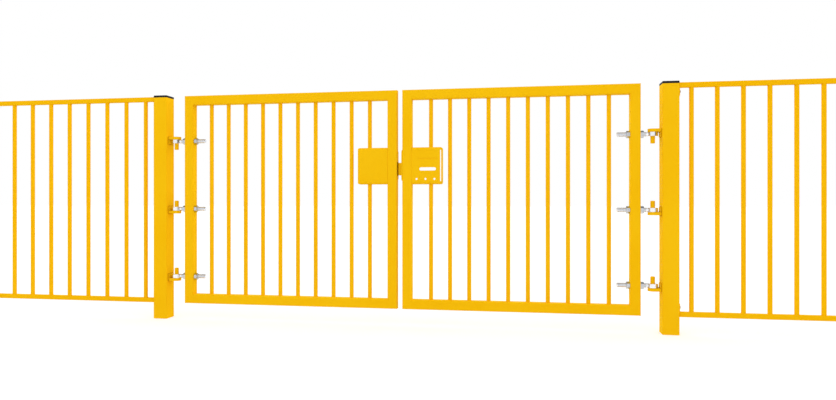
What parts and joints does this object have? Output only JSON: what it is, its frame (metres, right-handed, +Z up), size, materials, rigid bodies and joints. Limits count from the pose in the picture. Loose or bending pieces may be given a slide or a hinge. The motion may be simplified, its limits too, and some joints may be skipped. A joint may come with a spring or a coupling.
{
  "type": "double leaf bar gate with fence bays",
  "caption": "Yellow double gate of square tube frames and round upright bars, hung on adjustable eye bolt hinges between square posts, with a sliding lock bolt and a bar fence on both sides.",
  "frame": {"origin": "middle of the flat foot of the left gate post, at ground level", "axes": "+X runs along the gate to the right gate post, -Y is the front, +Z is up"},
  "size_m": [7.05, 0.092, 1.253],
  "materials": {
    "gate_coat": "golden yellow powder coat, smooth satin gloss",
    "bar_coat": "golden yellow powder coat on round bars and fence rails",
    "post_cap": "black moulded plastic",
    "eye_bolt_steel": "bright zinc plated",
    "fastener_zinc": "zinc plated nuts and bolts",
    "pull_steel": "turned steel"
  },
  "bodies": {
    "posts_and_fence": {"left_gate_post": "gate_coat", "right_gate_post": "gate_coat", "left_gate_post_cap": "post_cap", "right_gate_post_cap": "post_cap", "left_end_post": "gate_coat", "right_end_post": "gate_coat", "left_end_post_cap": "post_cap", "right_end_post_cap": "post_cap", "left_fence_panel": "bar_coat", "right_fence_panel": "bar_coat", "left_panel_bolts": "fastener_zinc", "right_panel_bolts": "fastener_zinc", "left_top_hinge_arm": "gate_coat", "left_middle_hinge_arm": "gate_coat", "left_bottom_hinge_arm": "gate_coat", "right_top_hinge_arm": "gate_coat", "right_middle_hinge_arm": "gate_coat", "right_bottom_hinge_arm": "gate_coat"},
    "left_leaf": {"left_hinge_stile": "gate_coat", "left_meeting_stile": "gate_coat", "left_top_rail": "gate_coat", "left_bottom_rail": "gate_coat", "left_leaf_bars": "bar_coat", "left_lock_box": "gate_coat", "left_keep_plate": "gate_coat", "left_keep_screws": "gate_coat", "left_top_eye_bolt": "eye_bolt_steel", "left_middle_eye_bolt": "eye_bolt_steel", "left_bottom_eye_bolt": "eye_bolt_steel", "left_hinge_nuts": "fastener_zinc"},
    "right_leaf": {"right_hinge_stile": "gate_coat", "right_meeting_stile": "gate_coat", "right_top_rail": "gate_coat", "right_bottom_rail": "gate_coat", "right_leaf_bars": "bar_coat", "right_lock_tray": "gate_coat", "right_face_plate": "gate_coat", "right_top_eye_bolt": "eye_bolt_steel", "right_middle_eye_bolt": "eye_bolt_steel", "right_bottom_eye_bolt": "eye_bolt_steel", "right_hinge_nuts": "fastener_zinc"},
    "lock_bolt": {"slide_bolt": "gate_coat", "bolt_pull": "pull_steel"}
  },
  "joints": [
    {"name": "left_leaf_hinge", "type": "hinge", "parent": "posts_and_fence", "child": "left_leaf", "pos_m": [0.079, 0, 0.61575], "axis": [0, 0, 1], "range_deg": [-90, 90]},
    {"name": "right_leaf_hinge", "type": "hinge", "parent": "posts_and_fence", "child": "right_leaf", "pos_m": [2.651, 0, 0.61575], "axis": [0, 0, -1], "range_deg": [-90, 90]},
    {"name": "lock_bolt_slide", "type": "slide", "parent": "right_leaf", "child": "lock_bolt", "axis": [-1, 0, 0], "range_m": [0, 0.035]}
  ]
}
